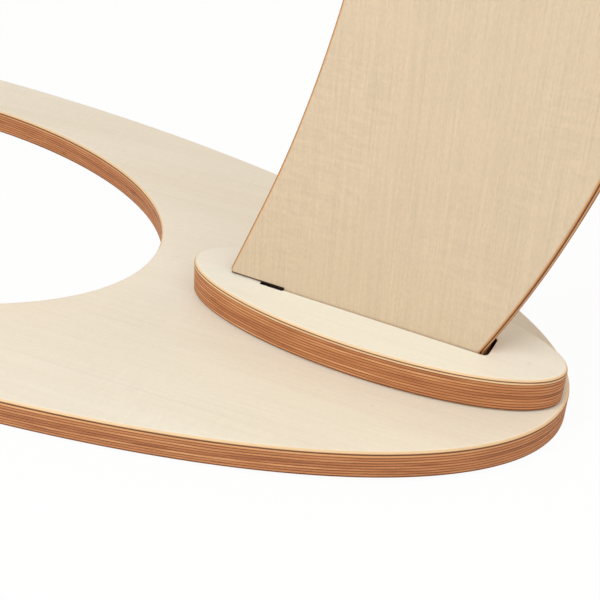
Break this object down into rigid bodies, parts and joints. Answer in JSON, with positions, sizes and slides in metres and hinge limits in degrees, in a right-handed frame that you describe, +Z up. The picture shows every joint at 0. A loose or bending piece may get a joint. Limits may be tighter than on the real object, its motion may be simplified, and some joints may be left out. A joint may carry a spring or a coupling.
{
  "type": "gong stand",
  "caption": "Plug-together plywood gong stand: elliptical base with an elliptical window, two curved arms in slotted support plates, and a top bridge with eye bolts and swinging rings.",
  "frame": {"origin": "on the floor, under the middle of the base plate", "axes": "+X along the base towards the right arm, +Y to the back, +Z up"},
  "size_m": [1.0294, 0.3406, 0.9582],
  "materials": {
    "plate_wood": "clear satin lacquer on maple face veneer, red-brown layered edges",
    "arm_wood": "clear satin lacquer on maple face veneer, red-brown layered edges",
    "zinc_steel": "zinc plated",
    "stainless": "polished stainless steel",
    "pad_felt": "dense grey felt"
  },
  "bodies": {
    "base": {"base_plate": "plate_wood", "left_support": "plate_wood", "right_support": "plate_wood", "left_support_screw_1": "zinc_steel", "left_support_screw_2": "zinc_steel", "left_support_screw_3": "zinc_steel", "left_support_screw_4": "zinc_steel", "right_support_screw_1": "zinc_steel", "right_support_screw_2": "zinc_steel", "right_support_screw_3": "zinc_steel", "right_support_screw_4": "zinc_steel", "foot_pad_1": "pad_felt", "foot_pad_2": "pad_felt", "foot_pad_3": "pad_felt", "foot_pad_4": "pad_felt", "foot_pad_5": "pad_felt", "foot_pad_6": "pad_felt"},
    "arms": {"left_arm": "arm_wood", "right_arm": "arm_wood"},
    "bridge": {"top_bridge": "plate_wood", "left_eyebolt": "stainless", "right_eyebolt": "stainless", "left_lower_washer": "stainless", "right_lower_washer": "stainless", "left_upper_washer": "stainless", "right_upper_washer": "stainless", "left_cap_nut": "stainless", "right_cap_nut": "stainless"},
    "left_ring": {"left_ring": "stainless"},
    "right_ring": {"right_ring": "stainless"}
  },
  "joints": [
    {"name": "arms_lift", "type": "slide", "parent": "base", "child": "arms", "axis": [0, 0, 1], "range_m": [0, 0.045]},
    {"name": "bridge_lift", "type": "slide", "parent": "arms", "child": "bridge", "axis": [0, 0, 1], "range_m": [0, 0.05]},
    {"name": "left_ring_swing", "type": "hinge", "parent": "bridge", "child": "left_ring", "pos_m": [-0.12, 0, 0.8905], "axis": [1, 0, 0], "range_deg": [-80, 80]},
    {"name": "right_ring_swing", "type": "hinge", "parent": "bridge", "child": "right_ring", "pos_m": [0.12, 0, 0.8905], "axis": [1, 0, 0], "range_deg": [-80, 80]}
  ]
}
